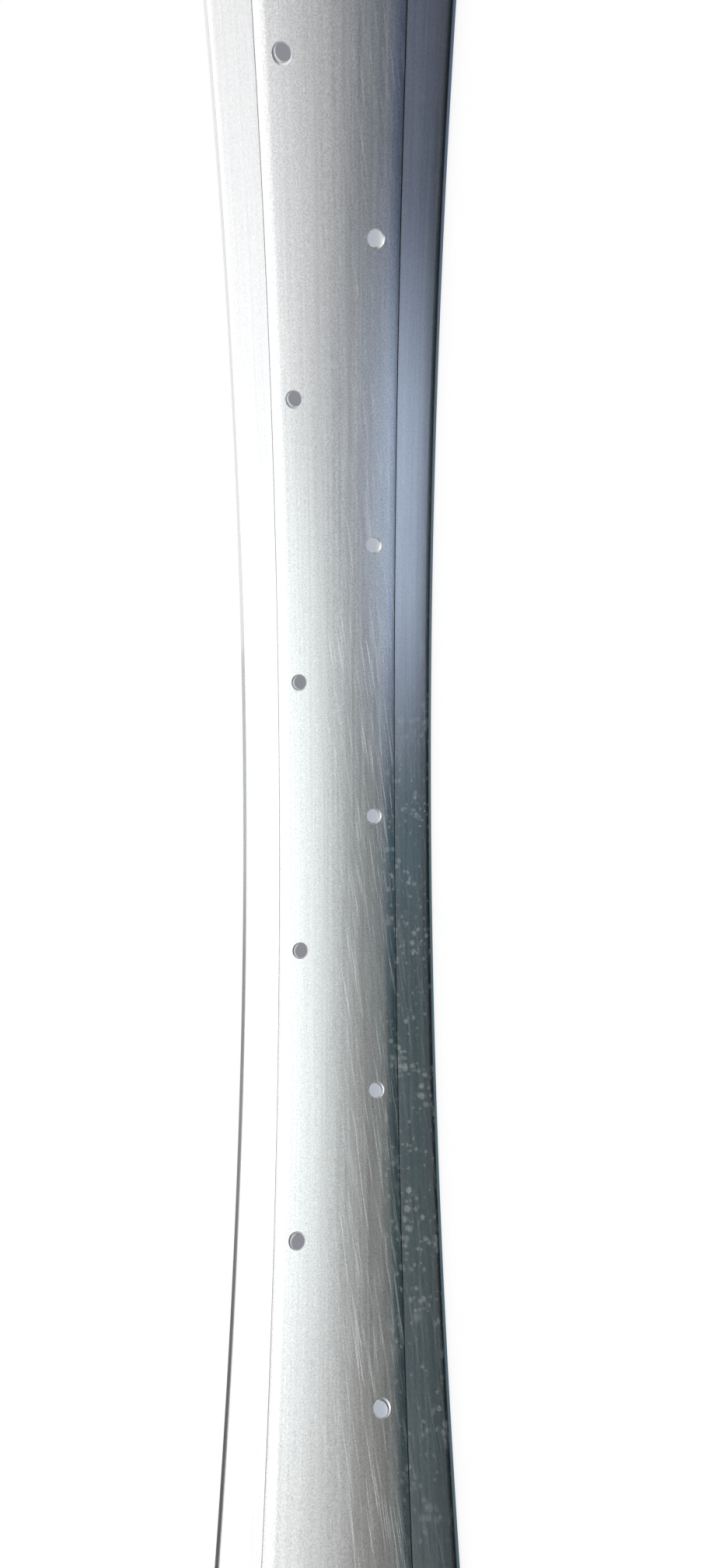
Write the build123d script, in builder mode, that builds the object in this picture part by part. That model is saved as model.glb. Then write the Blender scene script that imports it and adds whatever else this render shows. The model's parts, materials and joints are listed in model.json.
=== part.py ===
from build123d import *
import os
from math import asin, atan2, cos, degrees, hypot, radians, sin, tan

# A wide single-wall aluminium rim for a 26 inch bicycle wheel. It is one extruded
# section, rolled into a hoop and joined flush, then drilled for its spokes and valve.
# The hoop's axis is Z, its middle plane is XY, its valve hole is at +X and its joint at -X.
# All sizes are in millimetres.

# The hoop
BEAD_SEAT_DIAMETER = 559.0  # where the tyre's beads sit, at the foot of each sidewall
RIM_WIDTH = 69.0  # over the outside of both lips
WALL = 2.0  # bed, shoulders, bead seats and sidewalls

# The section, hub side out
WELL_DEPTH = 9.5  # from the bead seats down to the middle of the well's floor
WELL_WIDTH = 41.0  # from crease to crease on the hub side
BED_RADIUS = 58.0  # the bed's crown across its width
BED_EDGE_RADIUS = 6.0  # where the bed rolls over into a shoulder
SHOULDER_WIDTH = 2.6  # measured across the rim
SHOULDER_DROP = 2.0  # measured towards the tyre
SEAT_CORNER_RADIUS = 3.0  # hub-side corner between bead seat and sidewall
SIDEWALL_LEAN = 13.0  # how many degrees a sidewall leans outwards

# The lips that hold the tyre's beads
FLANGE_HEIGHT = 6.5  # from bead seat to the crest of the lip
LIP_HEIGHT = 2.2  # the thickened part of the sidewall, down from the crest
LIP_EDGE_HEIGHT = 1.2  # the lip's straight outer edge, down from the crest
LIP_RADIUS = 0.9  # rounding of both edges of the lip's crest
BEAD_HOOK = 0.8  # how far the lip reaches in over the tyre's bead

# The drilling
SPOKE_HOLES = 36  # in two rows, alternately one side and the other
SPOKE_ROW_SPACING = 26.0  # between the two rows, measured across the rim
SPOKE_HOLE_DIAMETER = 4.8
VALVE_HOLE_DIAMETER = 8.5

# Radii of the hoop and half widths of the section
seat_radius = BEAD_SEAT_DIAMETER / 2
crest_radius = seat_radius + FLANGE_HEIGHT
crown_radius = seat_radius - WELL_DEPTH - WALL
lip_edge = RIM_WIDTH / 2
crease_edge = WELL_WIDTH / 2
bed_edge = crease_edge - SHOULDER_WIDTH

# The bed's arc is centred on the tyre side, so the bed bulges towards the hub
bed_centre = crown_radius + BED_RADIUS
bed_half_angle = asin(bed_edge / BED_RADIUS)
crease_radius = bed_centre - BED_RADIUS * cos(bed_half_angle) + SHOULDER_DROP

# A sidewall leans out to meet the foot of the lip's straight edge
lip_root = crest_radius - LIP_HEIGHT
edge_foot = crest_radius - LIP_EDGE_HEIGHT
lean_out = tan(radians(SIDEWALL_LEAN))
across_sidewall = WALL / cos(radians(SIDEWALL_LEAN))


def side_face(radius):
    """How far a sidewall's outer face lies from the middle plane at this radius."""
    return lip_edge - (edge_foot - radius) * lean_out


# The bead seat leaves the crease at the slope that puts its tyre side on the seat diameter
to_seat = (side_face(seat_radius) - across_sidewall - crease_edge, seat_radius - crease_radius)
seat_rise = tan(atan2(to_seat[1], to_seat[0]) - asin(WALL / hypot(*to_seat)))
corner_radius = (crease_radius + (side_face(0) - crease_edge) * seat_rise) / (1 - lean_out * seat_rise)

# Spoke holes stand square to the bed, so the two rows lean towards their own hub flange
spoke_pitch = 360 / SPOKE_HOLES
spoke_lean = asin(SPOKE_ROW_SPACING / 2 / BED_RADIUS)
drill_depth = 2 * WALL


def bed_normal(lean):
    """A plane on the bed at this lean from its crown, with its Z axis pointing out of the metal."""
    at = (bed_centre - BED_RADIUS * cos(lean), 0, BED_RADIUS * sin(lean))
    return Plane(origin=at, x_dir=(0, 1, 0), z_dir=(-cos(lean), 0, sin(lean)))


with BuildPart() as rim:
    # The section is drawn where the hoop is joined: X is the radius from the axle and Y the
    # distance from the middle plane
    with BuildSketch(Plane(origin=(0, 0, 0), x_dir=(-1, 0, 0), z_dir=(0, 1, 0))):
        # The hub-side outline, from the crown of the bed out past the lip and straight across,
        # hollowed to one wall and then opened towards the tyre
        with BuildLine() as outline:
            bed = CenterArc((bed_centre, 0), BED_RADIUS, 180, -degrees(bed_half_angle))
            shoulder = Line(bed @ 1, (crease_radius, crease_edge))
            seat = Line(shoulder @ 1, (corner_radius, side_face(corner_radius)))
            sidewall = Line(seat @ 1, (crest_radius + WALL, side_face(crest_radius + WALL)))
            Line(sidewall @ 1, (crest_radius + WALL, 0))
            fillet(outline.vertices().sort_by_distance(bed @ 1)[0], BED_EDGE_RADIUS)
            fillet(outline.vertices().sort_by_distance(seat @ 1)[0], SEAT_CORNER_RADIUS)
            mirror(about=Plane.XZ)
        make_face()
        offset(amount=-WALL, kind=Kind.INTERSECTION, mode=Mode.SUBTRACT)
        with Locations((edge_foot, 0)):
            Rectangle(
                LIP_EDGE_HEIGHT + 2 * WALL,
                2 * RIM_WIDTH,
                align=(Align.MIN, Align.CENTER),
                mode=Mode.SUBTRACT,
            )

        # The two lips, straight outside and hooked inside, with a rounded crest
        with BuildSketch() as lips:
            side_inside = side_face(lip_root) - across_sidewall
            crest_edge = (crest_radius, lip_edge)
            crest_hook = (crest_radius, side_inside - BEAD_HOOK)
            with BuildLine():
                Polyline(
                    (lip_root, side_inside),
                    (lip_root, side_face(lip_root)),
                    (edge_foot, lip_edge),
                    crest_edge,
                    crest_hook,
                    (lip_root + BEAD_HOOK, side_inside - BEAD_HOOK),
                    close=True,
                )
            make_face()
            for corner in (crest_edge, crest_hook):
                fillet(lips.vertices().sort_by_distance(corner)[0], LIP_RADIUS)
            mirror(about=Plane.XZ)
    revolve(axis=Axis.Z)

    # The valve hole, on the crown of the bed, half a pitch from the spoke holes beside it
    with Locations(bed_normal(0)):
        Hole(VALVE_HOLE_DIAMETER / 2, drill_depth)

    # The two rows of spoke holes, each with every second hole of the pitch
    for side, first_angle in ((1, spoke_pitch / 2), (-1, spoke_pitch * 3 / 2)):
        with PolarLocations(0, SPOKE_HOLES // 2, first_angle):
            with Locations(bed_normal(side * spoke_lean)):
                Hole(SPOKE_HOLE_DIAMETER / 2, drill_depth)

rim.part.label = "rim"
os.makedirs("parts", exist_ok=True)
export_step(rim.part, "parts/rim.step")
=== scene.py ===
"""A bare aluminium bicycle rim, lying on its side under soft studio light."""

import json
import math

import bmesh
import bpy
from mathutils import Matrix, Vector


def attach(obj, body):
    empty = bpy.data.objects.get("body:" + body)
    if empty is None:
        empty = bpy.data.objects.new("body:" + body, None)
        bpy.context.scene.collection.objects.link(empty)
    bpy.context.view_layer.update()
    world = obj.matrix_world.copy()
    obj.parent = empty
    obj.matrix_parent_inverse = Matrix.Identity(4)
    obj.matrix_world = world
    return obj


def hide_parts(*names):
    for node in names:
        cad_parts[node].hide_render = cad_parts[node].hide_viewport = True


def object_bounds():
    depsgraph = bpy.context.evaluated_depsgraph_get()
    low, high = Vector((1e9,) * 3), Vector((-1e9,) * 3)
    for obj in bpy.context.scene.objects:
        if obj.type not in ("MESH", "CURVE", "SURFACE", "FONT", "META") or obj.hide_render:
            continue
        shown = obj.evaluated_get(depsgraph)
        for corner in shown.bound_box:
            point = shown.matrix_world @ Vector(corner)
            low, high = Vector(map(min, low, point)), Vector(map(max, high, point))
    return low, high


bl_info = {
    "name": "Bare bicycle rim",
    "version": (1, 0, 0),
    "blender": (4, 5, 0),
    "location": "3D View > Sidebar > Rim",
    "description": "Rolls and drills a bare aluminium bicycle rim and sets it on a pale studio floor",
    "category": "Object",
}

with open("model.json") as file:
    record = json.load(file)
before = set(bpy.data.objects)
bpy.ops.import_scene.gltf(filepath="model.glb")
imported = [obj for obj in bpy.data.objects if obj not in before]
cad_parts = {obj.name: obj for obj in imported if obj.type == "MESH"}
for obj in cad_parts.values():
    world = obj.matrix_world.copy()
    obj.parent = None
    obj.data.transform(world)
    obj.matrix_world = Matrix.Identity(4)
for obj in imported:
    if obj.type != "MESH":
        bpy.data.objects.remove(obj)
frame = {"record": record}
CAD_LOW, CAD_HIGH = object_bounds()
MM = 0.001
BED_LINE = 271 * MM  # the radius at which a pattern's length along the hoop is true
MERGE = 0.001 * MM  # points nearer to each other than this become one
SHARP = math.radians(28)  # edges bent by less than this are shaded smooth
SMOOTH = {"interpolation_type": "SMOOTHSTEP"}
WHITE = (1.0, 1.0, 1.0, 1.0)


def linear(code):
    """An sRGB hex colour as the linear values that a shader takes."""
    parts = [int(code[i : i + 2], 16) / 255 for i in (1, 3, 5)]
    return tuple(p / 12.92 if p <= 0.04045 else ((p + 0.055) / 1.055) ** 2.4 for p in parts)


class RimSection(bpy.types.PropertyGroup):
    """Sizes of the extruded section and its drilling."""

    wall: bpy.props.FloatProperty(
        name="Wall",
        description="Thickness of the extruded wall",
        default=2.0 * MM,
        unit="LENGTH",
    )
    well_depth: bpy.props.FloatProperty(
        name="Well depth",
        description="From the bead seats to the well's floor",
        default=9.5 * MM,
        unit="LENGTH",
    )
    well_width: bpy.props.FloatProperty(
        name="Well width",
        description="From crease to crease on the hub side",
        default=41.0 * MM,
        unit="LENGTH",
    )
    bed_radius: bpy.props.FloatProperty(
        name="Bed radius",
        description="Crown of the spoke bed across its width",
        default=58.0 * MM,
        unit="LENGTH",
    )
    shoulder_width: bpy.props.FloatProperty(
        name="Shoulder width",
        description="Shoulder beside the bed, across the rim",
        default=2.6 * MM,
        unit="LENGTH",
    )
    shoulder_drop: bpy.props.FloatProperty(
        name="Shoulder drop",
        description="Shoulder beside the bed, towards the tyre",
        default=2.0 * MM,
        unit="LENGTH",
    )
    bed_edge: bpy.props.FloatProperty(
        name="Bed edge",
        description="Rounding from the bed into the shoulder",
        default=6.0 * MM,
        unit="LENGTH",
    )
    seat_corner: bpy.props.FloatProperty(
        name="Seat corner",
        description="Hub-side rounding from seat to sidewall",
        default=3.0 * MM,
        unit="LENGTH",
    )
    flange_height: bpy.props.FloatProperty(
        name="Flange height",
        description="From the bead seat to the lip's crest",
        default=6.5 * MM,
        unit="LENGTH",
    )
    sidewall_lean: bpy.props.FloatProperty(
        name="Sidewall lean",
        description="How far a sidewall leans outwards",
        default=math.radians(13),
        unit="ROTATION",
    )
    lip_height: bpy.props.FloatProperty(
        name="Lip height",
        description="Thickened part of a sidewall at its crest",
        default=2.2 * MM,
        unit="LENGTH",
    )
    lip_edge: bpy.props.FloatProperty(
        name="Lip edge",
        description="Straight outer edge of the lip, down from its crest",
        default=1.2 * MM,
        unit="LENGTH",
    )
    lip_radius: bpy.props.FloatProperty(
        name="Lip radius",
        description="Rounding of both edges of the lip's crest",
        default=0.9 * MM,
        unit="LENGTH",
    )
    bead_hook: bpy.props.FloatProperty(
        name="Bead hook",
        description="How far the lip reaches over the tyre's bead",
        default=0.8 * MM,
        unit="LENGTH",
    )
    crease: bpy.props.FloatProperty(
        name="Crease",
        description="Width of the die line beside each shoulder",
        default=0.3 * MM,
        unit="LENGTH",
    )
    deburr: bpy.props.FloatProperty(
        name="Deburr",
        description="Broken edge round each drilled hole",
        default=0.5 * MM,
        unit="LENGTH",
    )
    steps: bpy.props.IntProperty(
        name="Steps",
        description="Facets round the hoop",
        default=432,
        min=72,
        subtype="UNSIGNED",
    )


class RimFinish(bpy.types.PropertyGroup):
    """Colours and scale of the metal's finish."""

    metal: bpy.props.FloatVectorProperty(
        name="Metal",
        description="Bare aluminium",
        default=linear("#e1e1e2"),
        size=3,
        subtype="COLOR",
    )
    # Painted shade held in the die line, darkest on the lower side, and the colour of the dark pits
    crease_shade_and_pit_colour: bpy.props.FloatVectorProperty(
        name="Stain",
        description="Dirt held in the crease",
        default=linear("#2a2e30"),
        size=3,
        subtype="COLOR",
    )
    oxide: bpy.props.FloatVectorProperty(
        name="Oxide",
        description="Pale spots",
        default=linear("#d6dadb"),
        size=3,
        subtype="COLOR",
    )
    grain: bpy.props.FloatProperty(
        name="Grain",
        description="Size of the grain",
        default=0.45 * MM,
        unit="LENGTH",
    )
    line_width: bpy.props.FloatProperty(
        name="Line width",
        description="Spacing of the drawn lines",
        default=1.0 * MM,
        unit="LENGTH",
    )
    line_length: bpy.props.FloatProperty(
        name="Line length",
        description="Length of the drawn lines",
        default=90.0 * MM,
        unit="LENGTH",
    )
    spot_turn: bpy.props.FloatProperty(
        name="Spot turn",
        description="Where round the hoop the pale spots are thickest",
        default=math.radians(113),
        unit="ROTATION",
    )


class RimStudio(bpy.types.PropertyGroup):
    """Camera, floor, cards and light."""

    camera_at: bpy.props.FloatVectorProperty(
        name="Camera",
        description="Where the camera stands, inside the hoop",
        default=(16.32 * MM, -121.25 * MM, -3.93 * MM),
        subtype="XYZ",
        unit="LENGTH",
    )
    camera_aim: bpy.props.FloatVectorProperty(
        name="Aim",
        description="Point of the spoke bed at the picture's middle",
        default=(-12.2 * MM, 269.2 * MM, -9.25 * MM),
        subtype="XYZ",
        unit="LENGTH",
    )
    camera_roll: bpy.props.FloatProperty(
        name="Roll",
        description="Turn about the line of sight",
        default=math.radians(0.2),
        unit="ROTATION",
    )
    lens: bpy.props.FloatProperty(
        name="Lens",
        description="Focal length in millimetres",
        default=25.45,
        unit="CAMERA",
    )
    paper: bpy.props.FloatVectorProperty(
        name="Paper",
        description="Floor of seamless paper",
        default=linear("#f4f4f4"),
        size=3,
        subtype="COLOR",
    )
    far_paper: bpy.props.FloatVectorProperty(
        name="Far paper",
        description="Floor away from the rim",
        default=linear("#b6bdc7"),
        size=3,
        subtype="COLOR",
    )
    horizon: bpy.props.FloatVectorProperty(
        name="Horizon",
        description="Walls at the floor line",
        default=linear("#8d8d95"),
        size=3,
        subtype="COLOR",
    )
    # Painted shade: the card's colour close to the rim, where the floor under the overhang is in shade
    painted_shade_brink: bpy.props.FloatVectorProperty(
        name="Brink",
        description="The dark card close to the rim",
        default=linear("#08232a"),
        size=3,
        subtype="COLOR",
    )
    patch: bpy.props.FloatVectorProperty(
        name="Patch",
        description="Pale patch on the dark card",
        default=linear("#c0cfe9"),
        size=3,
        subtype="COLOR",
    )
    patch_turn: bpy.props.FloatProperty(
        name="Patch turn",
        description="Where round the hoop the pale patch lies",
        default=math.radians(73),
        unit="ROTATION",
    )
    floor_radius: bpy.props.FloatProperty(
        name="Floor radius",
        description="How far the paper runs out",
        default=30.0,
        unit="LENGTH",
    )
    card_radius: bpy.props.FloatProperty(
        name="Card radius",
        description="Radius of the dark card under the hoop",
        default=284.6 * MM,
        unit="LENGTH",
    )
    screen_radius: bpy.props.FloatProperty(
        name="Screen radius",
        description="Radius of the grey screen round the hoop",
        default=500 * MM,
        unit="LENGTH",
    )
    screen_height: bpy.props.FloatProperty(
        name="Screen height",
        description="Height of the grey screen where it is low",
        default=130 * MM,
        unit="LENGTH",
    )
    screen_rise: bpy.props.FloatProperty(
        name="Screen rise",
        description="How much higher the grey screen is where it is tall",
        default=800 * MM,
        unit="LENGTH",
    )
    over_power: bpy.props.FloatProperty(
        name="Over power",
        description="Soft box over the hoop",
        default=3.6,
        unit="POWER",
    )
    rear_power: bpy.props.FloatProperty(
        name="Rear power",
        description="Soft box behind the camera",
        default=2.2,
        unit="POWER",
    )
    ambient: bpy.props.FloatProperty(
        name="Ambient",
        description="Light that the walls give to matt surfaces",
        default=0.85,
        subtype="FACTOR",
    )


def add(tree, kind, inputs=None, **settings):
    """Adds a node with its settings, and sets each named input or links it to a socket. A node given as
    an input stands for its first output."""
    made = tree.nodes.new("ShaderNode" + kind)
    for name, value in settings.items():
        setattr(made, name, value)
    for name, value in (inputs or {}).items():
        if isinstance(value, bpy.types.Node):
            value = value.outputs[0]
        if isinstance(value, bpy.types.NodeSocket):
            tree.links.new(value, made.inputs[name])
        else:
            made.inputs[name].default_value = value
    return made


def new_material(name):
    """An empty node material and its tree."""
    material = bpy.data.materials.new(name)
    material.use_nodes = True
    material.node_tree.nodes.clear()
    return material, material.node_tree


def new_object(name, bm, material=None):
    """Turns a bmesh into an object at the origin."""
    mesh = bpy.data.meshes.new(name)
    bm.to_mesh(mesh)
    bm.free()
    made = bpy.data.objects.new(name, mesh)
    if material:
        mesh.materials.append(material)
    bpy.context.scene.collection.objects.link(made)
    return made


def faded(tree, level, *fades):
    """The level as far as each fade lets it through. A fade is a value, the value at which it starts to
    rise, the value at which it is whole, and the share that it lets through before its start."""
    for value, start, whole, least in fades:
        limits = {"Value": value, "From Min": start, "From Max": whole, "To Min": least}
        share = add(tree, "MapRange", limits, **SMOOTH)
        level = add(tree, "Math", {0: level, 1: share}, operation="MULTIPLY")
    return level


def bearing(tree, place):
    """The angle round the axle, in radians from +X."""
    parts = add(tree, "SeparateXYZ", {"Vector": place})
    return add(tree, "Math", {0: parts.outputs["Y"], 1: parts.outputs["X"]}, operation="ARCTAN2")


def swing_from(tree, turn, middle):
    """How far the angle lies from a middle, to either side."""
    off = add(tree, "Math", {0: turn, 1: middle}, operation="SUBTRACT")
    return add(tree, "Math", {0: off}, operation="ABSOLUTE")


def dial(tree, turn, *stops):
    """A colour that follows the angle round the axle, from stops in degrees."""
    first = stops[0][0]
    last = stops[-1][0]
    limits = {"Value": turn, "From Min": math.radians(first), "From Max": math.radians(last)}
    ramp = add(tree, "ValToRGB", {"Fac": add(tree, "MapRange", limits)})
    marks = ramp.color_ramp.elements
    marks.remove(marks[1])
    for degrees, code in stops:
        mark = marks[0] if degrees == first else marks.new((degrees - first) / (last - first))
        mark.color = (*linear(code), 1.0)
    return ramp


def seen_directly(tree):
    """1 on rays from the camera, a mirror or glass, and 0 on rays that only carry light."""
    path = add(tree, "LightPath")
    seen = 0.0
    for ray in ("Is Camera Ray", "Is Glossy Ray", "Is Transmission Ray"):
        seen = add(tree, "Math", {0: seen, 1: path.outputs[ray]}, operation="MAXIMUM")
    return seen


def mill_finish_aluminium(finish, sizes):
    """Aluminium as it leaves the die and the rolls. It gives the eye a satin sheen that is drawn out
    round the hoop, soft lines and a fine grain, thin handling scratches that slant across them, and
    pale oxide spots on the lower flank. The real grain and scratches are finer than the picture can
    show, so they are drawn some tenths of a millimetre wide."""
    material, tree = new_material("mill_finish_aluminium")
    crease = sizes.well_width / 2
    bed_side = crease - 0.3 * MM  # the bed's finish is whole up to here from the middle plane
    flank_side = crease + 0.1 * MM  # and the flank's from here on
    place = add(tree, "TexCoord").outputs["Object"]
    parts = add(tree, "SeparateXYZ", {"Vector": place})
    x, y, z = (parts.outputs[k] for k in "XYZ")
    aside = add(tree, "Math", {0: z}, operation="ABSOLUTE")
    turn = bearing(tree, place)
    along = add(tree, "Math", {0: turn, 1: BED_LINE}, operation="MULTIPLY")
    flat = add(tree, "CombineXYZ", {"X": x, "Y": y})
    radius = add(tree, "VectorMath", {0: flat}, operation="LENGTH").outputs["Value"]
    hoop = add(tree, "CombineXYZ", {"X": along, "Y": z, "Z": radius})

    # Drawn lines, long along the hoop and narrow across it, and the grain between them
    cell = (1 / finish.line_length, 1 / finish.line_width, 1 / finish.line_width)
    drawn = add(tree, "VectorMath", {0: hoop, 1: cell}, operation="MULTIPLY")
    pattern = {"Vector": drawn, "Scale": 1.0, "Detail": 4.0, "Roughness": 0.65}
    lines = add(tree, "TexNoise", pattern)
    pattern = {"Vector": hoop, "Scale": 1 / finish.grain, "Detail": 2.0, "Roughness": 0.6}
    grain = add(tree, "TexNoise", pattern)

    # Scratches, thin and short, some degrees off the drawn lines and thickest over the lower half, in
    # layers that are moved apart
    scratch = 0.0
    cuts = ((6.5, 24 * MM, 0.5 * MM), (8.0, 28 * MM, 0.45 * MM), (9.0, 20 * MM, 0.5 * MM))
    for slew, length, width in cuts:
        slant = {"Vector": hoop, "Location": (slew, slew, 0.0), "Rotation": (0, 0, math.radians(slew))}
        cell = (1 / length, 1 / width, 1 / (25 * MM))
        cut = {0: add(tree, "Mapping", slant), 1: cell}
        cut = add(tree, "VectorMath", cut, operation="MULTIPLY")
        level = add(tree, "TexNoise", {"Vector": cut, "Scale": 1.0, "Detail": 1.0})
        layer = faded(tree, 1.0, (level, 0.6, 0.8, 0.0))
        scratch = add(tree, "Math", {0: scratch, 1: layer}, operation="MAXIMUM")
    swarm = add(tree, "TexNoise", {"Vector": hoop, "Scale": 0.045 / MM, "Detail": 2.0})
    scratch = faded(
        tree,
        scratch,
        (z, 12 * MM, -4 * MM, 0.0),
        (z, -flank_side, -bed_side, 0.35),
        (swarm, 0.35, 0.65, 0.7),
        (turn, math.radians(62), math.radians(84), 0.4),
    )

    # Pale oxide spots in clusters on the lower flank, as ragged drops of three sizes
    crowd = add(tree, "TexNoise", {"Vector": hoop, "Scale": 0.07 / MM, "Detail": 3.0})
    crowd = faded(tree, 1.0, (crowd, 0.36, 0.62, 0.45))
    ragged = add(tree, "TexNoise", {"Vector": hoop, "Scale": 0.9 / MM, "Detail": 2.0})
    ragged = {0: ragged.outputs["Color"], 1: (0.8 * MM, 0.8 * MM, 0.8 * MM), 2: hoop}
    ragged = add(tree, "VectorMath", ragged, operation="MULTIPLY_ADD")
    bloom = 0.0
    drop_sizes = ((2.0 * MM, 0.58, 0.27), (3.0 * MM, 0.5, 0.34), (8.0 * MM, 0.4, 0.2))
    for cell, widest, strength in drop_sizes:
        drops = add(tree, "TexVoronoi", {"Vector": ragged, "Scale": 1 / cell})
        chance = add(tree, "SeparateColor", {"Color": drops.outputs["Color"]})
        size = add(tree, "Math", {0: chance, 1: crowd}, operation="MULTIPLY")
        inside = add(tree, "Math", {0: size, 1: -widest, 2: drops}, operation="MULTIPLY_ADD")
        spot = faded(tree, strength, (inside, 0.1, -0.22, 0.0))
        bloom = add(tree, "Math", {0: bloom, 1: spot}, operation="MAXIMUM")
    arc = swing_from(tree, turn, finish.spot_turn)
    bloom = faded(
        tree,
        bloom,
        (arc, math.radians(36), math.radians(16), 0.1),
        (z, -12 * MM, -20 * MM, 0.0),
    )

    # A few dark pits, and painted shade in the die line on the hub side of each shoulder, whole on the
    # lower side and faint on the upper
    pits = add(tree, "TexVoronoi", {"Vector": hoop, "Scale": 1 / (24 * MM)})
    chance = add(tree, "SeparateColor", {"Color": pits.outputs["Color"]})
    pit = faded(tree, 0.4, (pits, 0.034, 0.016, 0.0), (chance, 0.8, 0.81, 0.0))
    off = add(tree, "Math", {0: aside, 1: crease}, operation="SUBTRACT")
    off = add(tree, "Math", {0: off}, operation="ABSOLUTE")
    # Painted shade: the die line darkens fully below the middle plane and only faintly above it
    crease_shade_and_pits = faded(
        tree,
        1.0,
        (off, 0.24 * MM, 0.06 * MM, 0.0),
        (z, 10 * MM, -10 * MM, 0.04),
        (radius, 274.2 * MM, 273.4 * MM, 0.0),
    )
    crease_shade_and_pits = add(tree, "Math", {0: crease_shade_and_pits, 1: pit}, operation="MAXIMUM")

    # The grain shows more on the bed than on the flanks
    limits = {"From Min": flank_side, "From Max": bed_side, "To Min": 0.5, "To Max": 0.9}
    contrast = add(tree, "MapRange", {"Value": aside, **limits}, **SMOOTH)
    tone = add(tree, "Math", {0: grain, 1: 0.5}, operation="SUBTRACT")
    tone = add(tree, "Math", {0: tone, 1: contrast, 2: 0.765}, operation="MULTIPLY_ADD")
    for layer, share in ((lines, 0.45), (scratch, 0.2)):
        tone = add(tree, "Math", {0: layer, 1: share, 2: tone}, operation="MULTIPLY_ADD")
    metal = (*finish.metal, 1.0)
    for cover, coat, mode in (
        (1.0, tone, "MULTIPLY"),
        (bloom, (*finish.oxide, 1.0), "MIX"),
        (crease_shade_and_pits, (*finish.crease_shade_and_pit_colour, 1.0), "MIX"),
    ):
        coated = {"Factor": cover, "A": metal, "B": coat}
        metal = add(tree, "Mix", coated, data_type="RGBA", blend_type=mode).outputs["Result"]

    # Scratches and spots scatter light where the plain metal mirrors it, and the outer sidewalls are
    # burnished
    worn = add(tree, "Math", {0: scratch, 1: 0.5}, operation="MULTIPLY")
    worn = add(tree, "Math", {0: worn, 1: bloom}, operation="MAXIMUM")
    limits = {"From Min": 32.2 * MM, "From Max": 32.8 * MM, "To Min": 0.32, "To Max": 0.18}
    rough = add(tree, "MapRange", {"Value": aside, **limits}, **SMOOTH)
    for layer, share in ((lines, 0.2), (worn, 0.2)):
        rough = add(tree, "Math", {0: layer, 1: share, 2: rough}, operation="MULTIPLY_ADD")
    relief = lines
    for layer, share in ((grain, 0.3), (scratch, -0.5)):
        relief = add(tree, "Math", {0: layer, 1: share, 2: relief}, operation="MULTIPLY_ADD")
    surface = {
        "Base Color": metal,
        "Metallic": add(tree, "Math", {0: worn, 1: -0.55, 2: 1.0}, operation="MULTIPLY_ADD"),
        "Roughness": rough,
        "Anisotropic": 0.5,
        "Anisotropic Rotation": 0.25,
        "Normal": add(tree, "Bump", {"Strength": 0.3, "Distance": 0.06 * MM, "Height": relief}),
        "Tangent": add(tree, "Tangent", direction_type="RADIAL", axis="Z"),
    }
    add(tree, "OutputMaterial", {"Surface": add(tree, "BsdfPrincipled", surface)})
    return material


def seamless_paper(studio):
    """Matt paper off a roll, whose pressed fibres give it a faint tooth. The eye sees it white close to
    the rim, with a trace of the rim's shadow, and running out into the walls' grey."""
    material, tree = new_material("seamless_paper")
    place = add(tree, "TexCoord").outputs["Object"]
    away = add(tree, "VectorMath", {0: place}, operation="LENGTH").outputs["Value"]
    fibres = add(tree, "TexNoise", {"Vector": place, "Scale": 0.9 / MM, "Detail": 3.0})
    tooth = add(tree, "Bump", {"Strength": 0.1, "Distance": 0.1 * MM, "Height": fibres})
    outer = faded(tree, 1.0, (away, 0.7, 1.1, 0.0))
    sheet = {"Factor": outer, "A": (*studio.paper, 1.0), "B": (*studio.far_paper, 1.0)}
    sheet = add(tree, "Mix", sheet, data_type="RGBA").outputs["Result"]
    matt = {"Base Color": sheet, "Roughness": 0.95, "Specular IOR Level": 0.1, "Normal": tooth}
    matt = add(tree, "BsdfPrincipled", matt)

    # White by itself near the rim, and the walls' grey by itself far away
    near = faded(tree, 0.88, (away, 0.6, 0.3, 0.0))
    far = faded(tree, 1.0, (away, 2.0, 5.0, 0.0))
    tone = {"Factor": far, "A": WHITE, "B": (*studio.horizon, 1.0)}
    tone = add(tree, "Mix", tone, data_type="RGBA").outputs["Result"]
    glow = add(tree, "Emission", {"Color": tone, "Strength": 1.0})
    share = add(tree, "Math", {0: near, 1: far}, operation="ADD")
    share = add(tree, "Math", {0: share, 1: seen_directly(tree)}, operation="MULTIPLY")
    both = add(tree, "MixShader", {0: share, 1: matt, 2: glow})
    add(tree, "OutputMaterial", {"Surface": both})
    return material


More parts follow.
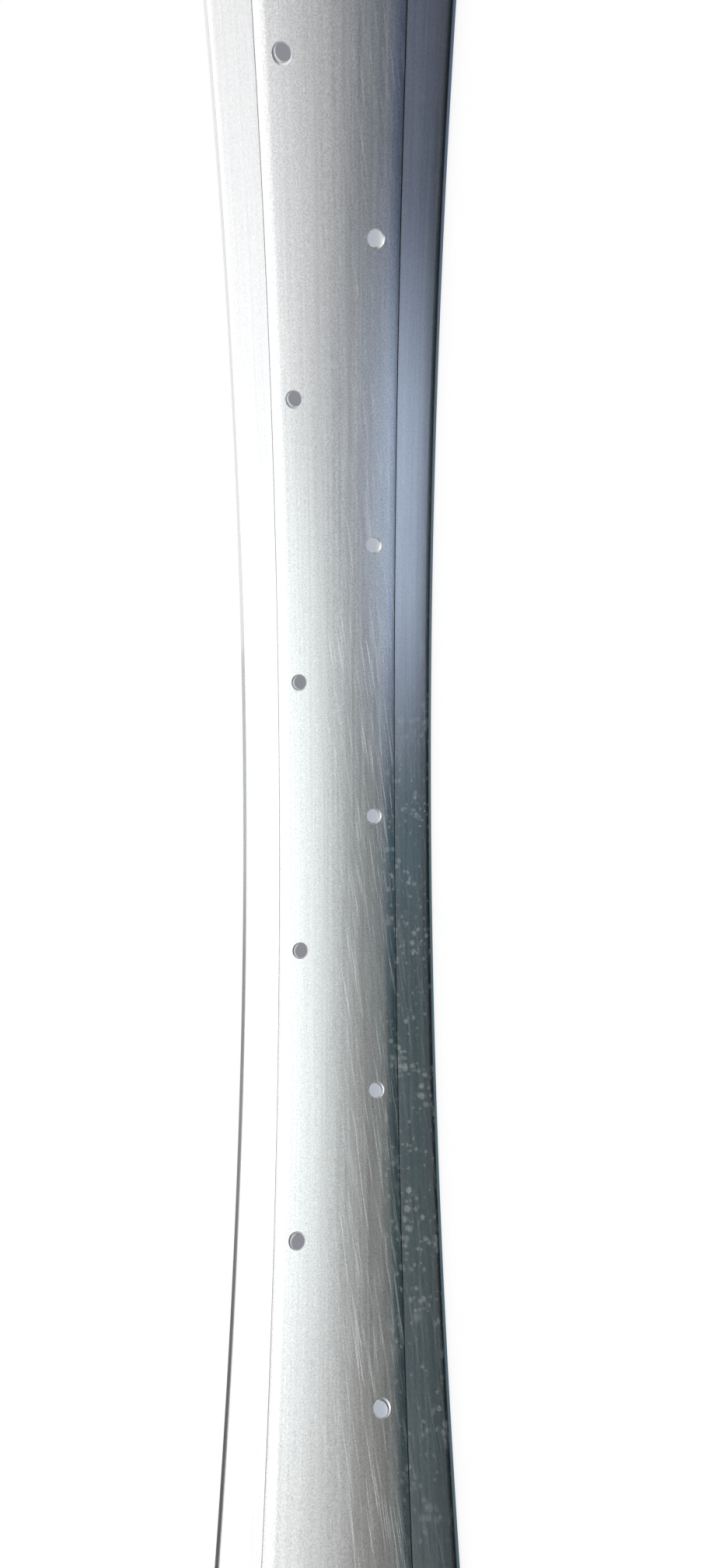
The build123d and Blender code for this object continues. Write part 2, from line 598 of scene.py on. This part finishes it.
def painted_reflection_card(studio):
    """Matt card that is seen only in reflections, a painted reflection of the floor under the hoop in
    shade. The rim mirrors it plain in the middle and tinted along its edge, with one pale patch, and dark
    at its brink close to the rim, which is painted shade. Its outermost strip, under the lip, glows a
    little for the sidewall that faces it, which is painted light."""
    material, tree = new_material("painted_reflection_card")
    place = add(tree, "TexCoord").outputs["Object"]
    away = add(tree, "VectorMath", {0: place}, operation="LENGTH").outputs["Value"]
    turn = bearing(tree, place)
    plain = dial(tree, turn, (30, "#565a60"), (75, "#585c5e"), (105, "#605d57"), (130, "#696157"))
    tint = dial(
        tree,
        turn,
        (30, "#464f68"),
        (58, "#586580"),
        (84, "#526176"),
        (90, "#55697b"),
        (97, "#3a5a6b"),
        (108, "#123f49"),
        (132, "#22434a"),
        (150, "#415254"),
    )
    strip = dial(
        tree,
        turn,
        (30, "#5d6880"),
        (75, "#6d7c86"),
        (97, "#64757a"),
        (112, "#5f747c"),
        (140, "#5f7078"),
    )
    edge = faded(tree, 1.0, (away, 225 * MM, 262 * MM, 0.0))
    arc = swing_from(tree, turn, studio.patch_turn)
    patch = faded(tree, 1.0, (arc, 0.38, 0.05, 0.0), (away, 195 * MM, 268 * MM, 0.0))
    # Painted shade: the card is darkest at its brink close to the rim
    painted_shade_brink = faded(tree, 0.95, (away, 273.5 * MM, 278.5 * MM, 0.0))
    shade = plain
    for cover, dye in ((edge, tint), (patch, (*studio.patch, 1.0)), (painted_shade_brink, (*studio.painted_shade_brink, 1.0))):
        dyed = {"Factor": cover, "A": shade, "B": dye}
        shade = add(tree, "Mix", dyed, data_type="RGBA").outputs["Result"]
    # The glowing outer strip is painted light, not a lamp
    surface = {
        "Base Color": shade,
        "Roughness": 0.9,
        "Emission Color": strip,
        "Emission Strength": faded(tree, 1.0, (away, 281.5 * MM, 283.5 * MM, 0.0)),
    }
    add(tree, "OutputMaterial", {"Surface": add(tree, "BsdfPrincipled", surface)})
    return material


def grey_card():
    """Matt card, sprayed in greys that follow the angle round the axle. The rim mirrors it darkest where
    the upper sidewall faces it."""
    material, tree = new_material("grey_card")
    shade = dial(
        tree,
        bearing(tree, add(tree, "TexCoord").outputs["Object"]),
        (-180, "#8f9190"),
        (-130, "#8f9190"),
        (-90, "#a6a8a7"),
        (-40, "#c6c4bf"),
        (40, "#c6c4bf"),
        (84, "#c8cacc"),
        (98, "#bec0c1"),
        (104, "#8a8c8d"),
        (112, "#7c7e7f"),
        (118, "#66686a"),
        (125, "#464849"),
        (130, "#141516"),
        (135, "#08090a"),
        (160, "#08090a"),
        (175, "#8f9190"),
        (180, "#8f9190"),
    )
    matt = add(tree, "BsdfPrincipled", {"Base Color": shade, "Roughness": 0.9})
    add(tree, "OutputMaterial", {"Surface": matt})
    return material


def studio_walls(studio):
    """Pale walls all round: grey at the floor line, white above it, and dimmer behind the camera in what
    the metal mirrors."""
    world = bpy.data.worlds.new("studio")
    world.use_nodes = True
    tree = world.node_tree
    tree.nodes.clear()
    parts = add(tree, "SeparateXYZ", {"Vector": add(tree, "TexCoord").outputs["Generated"]})
    x, y, z = (parts.outputs[k] for k in "XYZ")
    rise = faded(tree, 1.0, (z, 0.05, 0.075, 0.0))
    shade = {"Factor": rise, "A": (*studio.horizon, 1.0), "B": WHITE}
    shade = add(tree, "Mix", shade, data_type="RGBA").outputs["Result"]
    limits = {"From Min": 0.2, "From Max": -0.7, "To Min": 0.03, "To Max": 0.16}
    dim = add(tree, "MapRange", {"Value": x, **limits}, **SMOOTH)
    dim = faded(tree, dim, (y, 0.2, -0.2, 0.0))
    mirrored = add(tree, "LightPath").outputs["Is Glossy Ray"]
    dim = add(tree, "Math", {0: dim, 1: mirrored}, operation="MULTIPLY")
    seen = add(tree, "Math", {0: 1.0, 1: dim}, operation="SUBTRACT")
    level = add(tree, "Mix", {"Factor": seen_directly(tree), "A": studio.ambient, "B": seen})
    glow = add(tree, "Background", {"Color": shade, "Strength": level})
    add(tree, "OutputWorld", {"Surface": glow})
    return world


def half_section(sizes):
    """The section's outline from the crown of the bed round one lip and back to the mid plane,
    drawn in the XZ plane: X is the radius from the axle."""
    crest = CAD_HIGH.x
    edge = CAD_HIGH.z
    seat = crest - sizes.flange_height
    crown = seat - sizes.well_depth - sizes.wall
    crease_z = sizes.well_width / 2
    bed_z = crease_z - sizes.shoulder_width
    centre = crown + sizes.bed_radius
    swing = math.asin(bed_z / sizes.bed_radius)
    crease_x = centre - sizes.bed_radius * math.cos(swing) + sizes.shoulder_drop

    # A sidewall leans out to the foot of the lip's straight edge
    root = crest - sizes.lip_height
    foot = crest - sizes.lip_edge
    lean = math.tan(sizes.sidewall_lean)
    across = sizes.wall / math.cos(sizes.sidewall_lean)

    def face(radius):
        """Height of the sidewall's outer face at this radius."""
        return edge - (foot - radius) * lean

    rise = Vector((face(seat) - across - crease_z, seat - crease_x))
    slope = math.atan2(rise.y, rise.x) - math.asin(sizes.wall / rise.length)
    climb = math.tan(slope)
    corner_x = (crease_x + (face(0) - crease_z) * climb) / (1 - lean * climb)
    hook_z = face(root) - across - sizes.bead_hook

    # The tyre side runs one wall behind the hub side
    fall = math.atan2(sizes.shoulder_drop, sizes.shoulder_width)
    bend = (fall + slope) / 2
    mitre = sizes.wall / math.cos((fall - slope) / 2)
    behind_crease = (crease_x + mitre * math.cos(bend), crease_z - mitre * math.sin(bend))
    inner_radius = sizes.bed_radius - sizes.wall
    behind_bed = (centre - inner_radius * math.cos(swing), inner_radius * math.sin(swing))

    # Each corner: radius from the axle, height, rounding and its segments
    groove = sizes.crease / 2
    corners = (
        (crease_x - groove * math.sin(fall), crease_z - groove * math.cos(fall), 0.0, 0),
        (crease_x + groove, crease_z, 0.0, 0),
        (crease_x + groove * math.sin(slope), crease_z + groove * math.cos(slope), 0.0, 0),
        (corner_x, face(corner_x), sizes.seat_corner, 12),
        (foot, edge, 0.5 * MM, 2),
        (crest, edge, sizes.lip_radius, 6),
        (crest, hook_z, sizes.lip_radius, 6),
        (root + sizes.bead_hook, hook_z, 0.4 * MM, 3),
        (root, face(root) - across, 0.0, 0),
        (seat, face(seat) - across, sizes.seat_corner - sizes.wall, 5),
        (*behind_crease, 1.2 * MM, 4),
        (*behind_bed, 1.0 * MM, 3),
    )

    bm = bmesh.new()
    pen = bmesh.ops.create_vert(bm, co=(crown, 0.0, 0.0))["vert"][0]
    spun = bmesh.ops.spin(
        bm, geom=[pen], cent=(centre, 0, 0), axis=(0, 1, 0), angle=swing, steps=14, use_merge=False
    )
    pen = [v for v in spun["geom_last"] if isinstance(v, bmesh.types.BMVert)][0]
    rounded = [(pen, sizes.bed_edge, 6)]
    for radius, height, rounding, segments in corners:
        pen = bmesh.ops.extrude_vert_indiv(bm, verts=[pen])["verts"][0]
        pen.co = (radius, 0.0, height)
        if rounding:
            rounded.append((pen, rounding, segments))
    bmesh.ops.spin(
        bm, geom=[pen], cent=(centre, 0, 0), axis=(0, 1, 0), angle=-swing, steps=10, use_merge=False
    )
    for vert, rounding, segments in rounded:
        ways = [(e.other_vert(vert).co - vert.co).normalized() for e in vert.link_edges]
        reach = rounding / math.tan(ways[0].angle(ways[1]) / 2)
        bmesh.ops.bevel(
            bm,
            geom=[vert],
            offset=reach,
            offset_type="OFFSET",
            segments=segments,
            profile=0.5,
            affect="VERTICES",
            clamp_overlap=False,
            material=-1,
        )
    return bm


def drill(bm, mount, wall, deburr):
    """Adds a drill to bm for one stated bore, opened out where it leaves the hub side."""
    bore = mount["dims"]["r_mm"] * MM
    throat = deburr - wall / 2
    shaft = bmesh.ops.create_cone(
        bm,
        cap_ends=True,
        segments=48,
        radius1=bore,
        radius2=bore,
        depth=wall - throat,
        matrix=Matrix.Translation((0, 0, (wall + throat) / 2)),
    )["verts"]
    low = min({f for v in shaft for f in v.link_faces}, key=lambda f: f.calc_center_median().z)
    grown = bmesh.ops.extrude_face_region(bm, geom=[low])["geom"]
    mouth = [v for v in grown if isinstance(v, bmesh.types.BMVert)]
    open_out = (bore + throat + wall) / bore
    bmesh.ops.translate(bm, verts=mouth, vec=(0, 0, -wall - throat))
    bmesh.ops.scale(bm, verts=mouth, vec=(open_out, open_out, 1))
    bmesh.ops.delete(bm, geom=[low], context="FACES_ONLY")
    turn = Vector(mount["axis"]).to_track_quat("Z", "Y").to_matrix().to_4x4()
    bmesh.ops.transform(bm, verts=shaft + mouth, matrix=Matrix.Translation(mount["pos_m"]) @ turn)


def place_camera(scene, studio):
    """Stands the camera inside the hoop, on its side, with +X at the top of the picture."""
    camera = bpy.data.objects.new("camera", bpy.data.cameras.new("camera"))
    camera.data.sensor_fit = "VERTICAL"
    camera.data.sensor_height = 36
    camera.data.lens = studio.lens
    camera.data.clip_start = 5 * MM
    at = Vector(studio.camera_at)
    sight = (Vector(studio.camera_aim) - at).normalized()
    side = sight.cross((1, 0, 0)).normalized()
    upright = Matrix((side, side.cross(sight), -sight)).transposed()
    upright = upright @ Matrix.Rotation(-studio.camera_roll, 3, "Z")
    camera.matrix_world = Matrix.Translation(at) @ upright.to_4x4()
    scene.collection.objects.link(camera)
    scene.camera = camera


def hang_soft_box(scene, name, at, aim, size, power, colour):
    """Hangs a soft box out of the camera's sight and turns it to its aim."""
    lamp = bpy.data.lights.new(name, "AREA")
    lamp.shape = "RECTANGLE"
    lamp.size, lamp.size_y = size
    lamp.energy = power
    lamp.color = linear(colour)
    holder = bpy.data.objects.new(name, lamp)
    turn = (Vector(aim) - Vector(at)).to_track_quat("-Z", "Y").to_matrix().to_4x4()
    holder.matrix_world = Matrix.Translation(at) @ turn
    holder.visible_camera = False
    scene.collection.objects.link(holder)


class RIM_OT_hoop(bpy.types.Operator):
    """Rolls the section into the hoop and drills its spoke and valve holes"""

    bl_idname = "rim.hoop"
    bl_label = "Hoop"

    def execute(self, context):
        sizes = context.scene.rim_section
        bm = half_section(sizes)
        bmesh.ops.mirror(bm, geom=bm.verts[:] + bm.edges[:], axis="Z", merge_dist=MERGE)
        bmesh.ops.remove_doubles(bm, verts=bm.verts[:], dist=MERGE)
        bmesh.ops.spin(
            bm,
            geom=bm.verts[:] + bm.edges[:],
            cent=(0, 0, 0),
            axis=(0, 0, 1),
            angle=2 * math.pi,
            steps=sizes.steps,
            use_merge=True,
        )
        bmesh.ops.remove_doubles(bm, verts=bm.verts[:], dist=MERGE)
        bmesh.ops.recalc_face_normals(bm, faces=bm.faces[:])
        hoop = new_object("rim_hoop", bm, mill_finish_aluminium(context.scene.rim_finish, sizes))

        bm = bmesh.new()
        for mount in frame["record"]["mounts"]:
            if mount["kind"] == "bore":
                drill(bm, mount, sizes.wall, sizes.deburr)
        bmesh.ops.recalc_face_normals(bm, faces=bm.faces[:])
        drills = new_object("drills", bm)
        cut = hoop.modifiers.new("drilled", "BOOLEAN")
        cut.object = drills
        cut.operation = "DIFFERENCE"
        cut.solver = "EXACT"
        blank = hoop.data
        drilled = hoop.evaluated_get(context.evaluated_depsgraph_get())
        hoop.data = bpy.data.meshes.new_from_object(drilled)
        hoop.data.name = "rim_hoop"
        hoop.modifiers.clear()
        bpy.data.objects.remove(drills)
        bpy.data.meshes.remove(blank)

        # Smooth over the rounded section, sharp at the crease and the drilled edges
        bm = bmesh.new()
        bm.from_mesh(hoop.data)
        for face in bm.faces:
            face.smooth = True
        for edge in bm.edges:
            edge.smooth = edge.calc_face_angle(0.0) < SHARP
        bm.to_mesh(hoop.data)
        bm.free()
        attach(hoop, "root")
        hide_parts("rim")
        return {"FINISHED"}


class RIM_OT_studio(bpy.types.Operator):
    """Sets the camera, the paper floor, the cards that the metal mirrors and the soft light"""

    bl_idname = "rim.studio"
    bl_label = "Studio"

    def execute(self, context):
        scene = context.scene
        studio = scene.rim_studio
        scene.view_settings.view_transform = "Standard"
        place_camera(scene, studio)

        # Paper under the rim
        bm = bmesh.new()
        bmesh.ops.create_circle(bm, cap_ends=True, segments=96, radius=studio.floor_radius)
        bmesh.ops.translate(bm, verts=bm.verts[:], vec=(0, 0, CAD_LOW.z))
        floor = new_object("paper_floor", bm, seamless_paper(studio))

        # A dark card under the hoop, hidden from the camera, from matt surfaces and from shadows, that
        # the lower half of the rim mirrors: a painted reflection of the floor in shade
        bm = bmesh.new()
        bmesh.ops.create_circle(bm, cap_ends=True, segments=288, radius=studio.card_radius)
        bmesh.ops.translate(bm, verts=bm.verts[:], vec=(0, 0, CAD_LOW.z + 0.1 * MM))
        under = new_object("painted_reflection_floor_card", bm, painted_reflection_card(studio))

        # A grey screen round the hoop, out of the picture, that the bed and the outer edges mirror:
        # low all round, and tall where the upper sidewall mirrors it
        bm = bmesh.new()
        bmesh.ops.create_cone(
            bm,
            segments=144,
            radius1=studio.screen_radius,
            radius2=studio.screen_radius,
            depth=studio.screen_height,
            matrix=Matrix.Translation((0, 0, 30 * MM)),
        )
        top = [v for v in bm.verts if v.co.z > 0]
        tall = [v for v in top if 86 < math.degrees(math.atan2(v.co.y, v.co.x)) < 172]
        bmesh.ops.translate(bm, verts=tall, vec=(0, 0, studio.screen_rise))
        screen = new_object("grey_screen", bm, grey_card())
        for card in (under, screen):
            card.visible_camera = False
            card.visible_diffuse = False
            card.visible_shadow = False

        # A soft box over the hoop, and one behind the camera
        hang_soft_box(
            scene,
            "over_box",
            at=(0, 0, 0.8),
            aim=(0, 0, 0),
            size=(1.2, 1.2),
            power=studio.over_power,
            colour="#ffffff",
        )
        hang_soft_box(
            scene,
            "rear_box",
            at=(0.2, -0.75, 0.62),
            aim=(0, 0.2, 0),
            size=(1.4, 0.9),
            power=studio.rear_power,
            colour="#e4fff9",
        )
        scene.world = studio_walls(studio)
        return {"FINISHED"}


class RIM_PT_panel(bpy.types.Panel):
    """Sizes, finish and studio of the rim"""

    bl_idname = "RIM_PT_panel"
    bl_label = "Bare bicycle rim"
    bl_space_type = "VIEW_3D"
    bl_region_type = "UI"
    bl_category = "Rim"

    def draw(self, context):
        for group, operator in (
            (context.scene.rim_section, RIM_OT_hoop.bl_idname),
            (context.scene.rim_finish, None),
            (context.scene.rim_studio, RIM_OT_studio.bl_idname),
        ):
            box = self.layout.box()
            for name in group.__annotations__:
                box.prop(group, name)
            if operator:
                box.operator(operator)


CLASSES = (RimSection, RimFinish, RimStudio, RIM_OT_hoop, RIM_OT_studio, RIM_PT_panel)


def register():
    """Registers the classes and hangs the settings on the scene."""
    for cls in CLASSES:
        bpy.utils.register_class(cls)
    bpy.types.Scene.rim_section = bpy.props.PointerProperty(type=RimSection)
    bpy.types.Scene.rim_finish = bpy.props.PointerProperty(type=RimFinish)
    bpy.types.Scene.rim_studio = bpy.props.PointerProperty(type=RimStudio)


def unregister():
    """Takes the settings off the scene and unregisters the classes."""
    del bpy.types.Scene.rim_section, bpy.types.Scene.rim_finish, bpy.types.Scene.rim_studio
    for cls in reversed(CLASSES):
        bpy.utils.unregister_class(cls)


def main():
    """Makes the rim and its studio."""
    register()
    bpy.ops.rim.hoop()
    bpy.ops.rim.studio()


if __name__ == "__main__":
    main()
